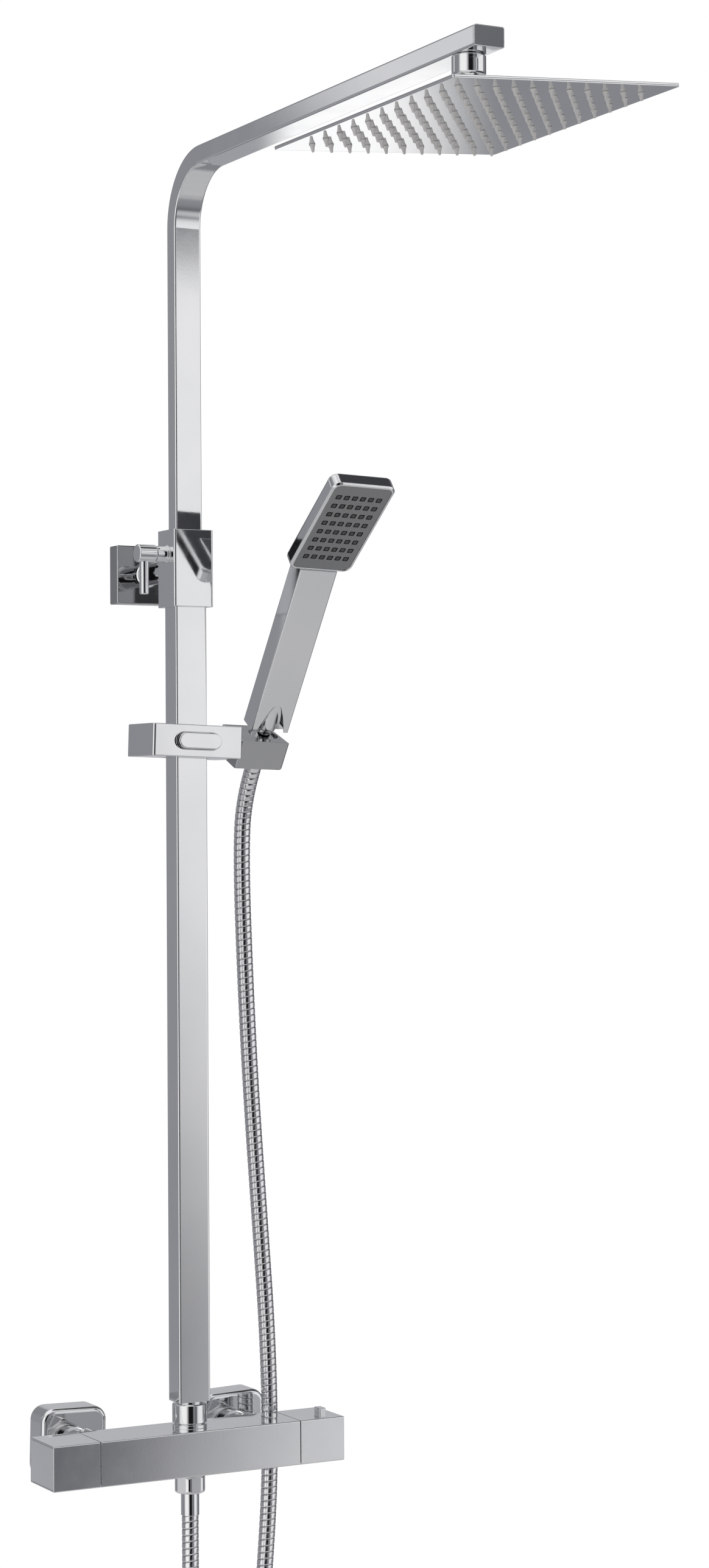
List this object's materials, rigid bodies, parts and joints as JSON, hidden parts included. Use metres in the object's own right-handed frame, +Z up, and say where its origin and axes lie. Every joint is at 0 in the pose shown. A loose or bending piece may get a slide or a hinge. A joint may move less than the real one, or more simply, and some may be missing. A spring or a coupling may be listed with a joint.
{
  "type": "rainfall shower column",
  "caption": "Wall mounted rain shower column: square overhead rose on a telescopic riser, thermostatic bar valve, and a handset with hose on a sliding holder.",
  "frame": {"origin": "midway between the two valve inlets, on the finished wall face", "axes": "+X to the right along the wall seen from the front, +Y into the wall, +Z up"},
  "size_m": [0.266, 0.6996, 1.5324],
  "materials": {
    "chrome": "polished chrome plate",
    "valve_chrome": "polished chrome plate",
    "knob_chrome": "polished chrome plate",
    "tube_chrome": "polished chrome plate on tube",
    "head_chrome": "mirror polished plate",
    "hose_steel": "interlocked chromed spiral",
    "bare_brass": "unplated cast brass inside",
    "stainless": "brushed stainless steel",
    "black_rubber": "matt rubber",
    "nozzle_silicone": "soft light grey silicone",
    "hand_nozzles": "dark grey silicone",
    "white_plastic": "moulded acetal",
    "dark_plastic": "moulded plastic",
    "hand_chrome": "chromed ABS",
    "face_satin": "satin grey face plate",
    "plate_chrome": "polished chrome plate",
    "holder_chrome": "chromed ABS, satin",
    "button_chrome": "chromed ABS"
  },
  "bodies": {
    "valve_set": {"valve_body": "valve_chrome", "inlet_tail_left": "bare_brass", "inlet_tail_right": "bare_brass", "escutcheon_left": "chrome", "escutcheon_right": "chrome", "inlet_nut_left": "chrome", "inlet_nut_right": "chrome", "inlet_washer_left": "black_rubber", "inlet_washer_right": "black_rubber", "check_valve_left": "white_plastic", "check_valve_right": "white_plastic", "thermostatic_cartridge": "bare_brass", "flow_cartridge": "bare_brass", "riser_nipple": "chrome", "riser_union_nut": "chrome", "riser_foot_plug": "chrome", "riser_tube_lower": "tube_chrome", "clamp_sleeve": "chrome", "bracket_stem": "chrome", "stem_rosette": "chrome", "wall_plate": "plate_chrome", "wall_base": "stainless", "plate_grub_screw": "stainless", "hose_outlet_nipple": "bare_brass", "shower_hose": "hose_steel", "hose_lower_nut": "chrome", "hose_lower_ferrule": "chrome"},
    "clamp_lever": {"lever_hub": "chrome", "lever_pin": "chrome"},
    "riser_upper": {"riser_tube_upper": "tube_chrome", "arm_end_cap": "tube_chrome", "arm_nipple": "chrome", "swivel_nut": "chrome", "riser_guide_bush": "white_plastic"},
    "head_swivel": {"swivel_seat": "white_plastic"},
    "rain_head": {"swivel_ball": "chrome", "head_collar": "chrome", "head_top_plate": "head_chrome", "head_face_plate": "head_chrome", "head_nozzles": "nozzle_silicone"},
    "temperature_knob": {"temperature_knob": "knob_chrome", "temperature_insert": "dark_plastic", "temperature_spindle": "bare_brass"},
    "stop_button": {"stop_button": "button_chrome", "stop_spring": "stainless"},
    "flow_knob": {"flow_knob": "knob_chrome", "flow_insert": "dark_plastic", "flow_spindle": "bare_brass"},
    "slider": {"slider_housing": "hand_chrome", "slider_liner": "dark_plastic", "holder_pivot": "stainless"},
    "slider_button": {"slider_button": "button_chrome"},
    "holder": {"handset_holder": "holder_chrome"},
    "handset": {"handset_shell": "hand_chrome", "handset_face": "face_satin", "handset_nozzles": "hand_nozzles", "handset_connector": "chrome", "hose_cone_nut": "chrome"}
  },
  "joints": [
    {"name": "flow_turn", "type": "hinge", "parent": "valve_set", "child": "flow_knob", "pos_m": [-0.0918, -0.094, 0], "axis": [-1, 0, 0], "range_deg": [0, 90]},
    {"name": "temperature_turn", "type": "hinge", "parent": "valve_set", "child": "temperature_knob", "pos_m": [0.0918, -0.094, 0], "axis": [1, 0, 0], "range_deg": [-120, 60]},
    {"name": "stop_button_press", "type": "slide", "parent": "temperature_knob", "child": "stop_button", "axis": [0, 0, -1], "range_m": [0, 0.003], "stiffness_N_per_m": 600, "deforming": ["stop_spring"]},
    {"name": "lever_turn", "type": "hinge", "parent": "valve_set", "child": "clamp_lever", "pos_m": [-0.028, -0.094, 0.7458], "axis": [-1, 0, 0], "range_deg": [-20, 180]},
    {"name": "riser_height", "type": "slide", "parent": "valve_set", "child": "riser_upper", "axis": [0, 0, 1], "range_m": [-0.22, 0.16]},
    {"name": "head_swivel", "type": "hinge", "parent": "riser_upper", "child": "head_swivel", "pos_m": [0, -0.5662, 1.0535], "axis": [0, 0, 1], "continuous": true},
    {"name": "head_tilt", "type": "hinge", "parent": "head_swivel", "child": "rain_head", "pos_m": [0, -0.5662, 1.0535], "axis": [-0.3827, -0.9239, 0], "range_deg": [-22, 7.8]},
    {"name": "slider_slide", "type": "slide", "parent": "valve_set", "child": "slider", "axis": [0, 0, 1], "range_m": [-0.46, 0.08], "deforming": ["shower_hose"]},
    {"name": "slider_button_press", "type": "slide", "parent": "slider", "child": "slider_button", "axis": [0, 1, 0], "range_m": [0, 0.003], "stiffness_N_per_m": 1500},
    {"name": "holder_tilt", "type": "hinge", "parent": "slider", "child": "holder", "pos_m": [0.03958, -0.095, 0.58812], "axis": [0.9994, 0, -0.0349], "range_deg": [-20, 25], "deforming": ["shower_hose"]},
    {"name": "handset_lift", "type": "slide", "parent": "holder", "child": "handset", "axis": [0.0295, -0.5344, 0.8447], "range_m": [0, 0.06], "deforming": ["shower_hose"]}
  ]
}
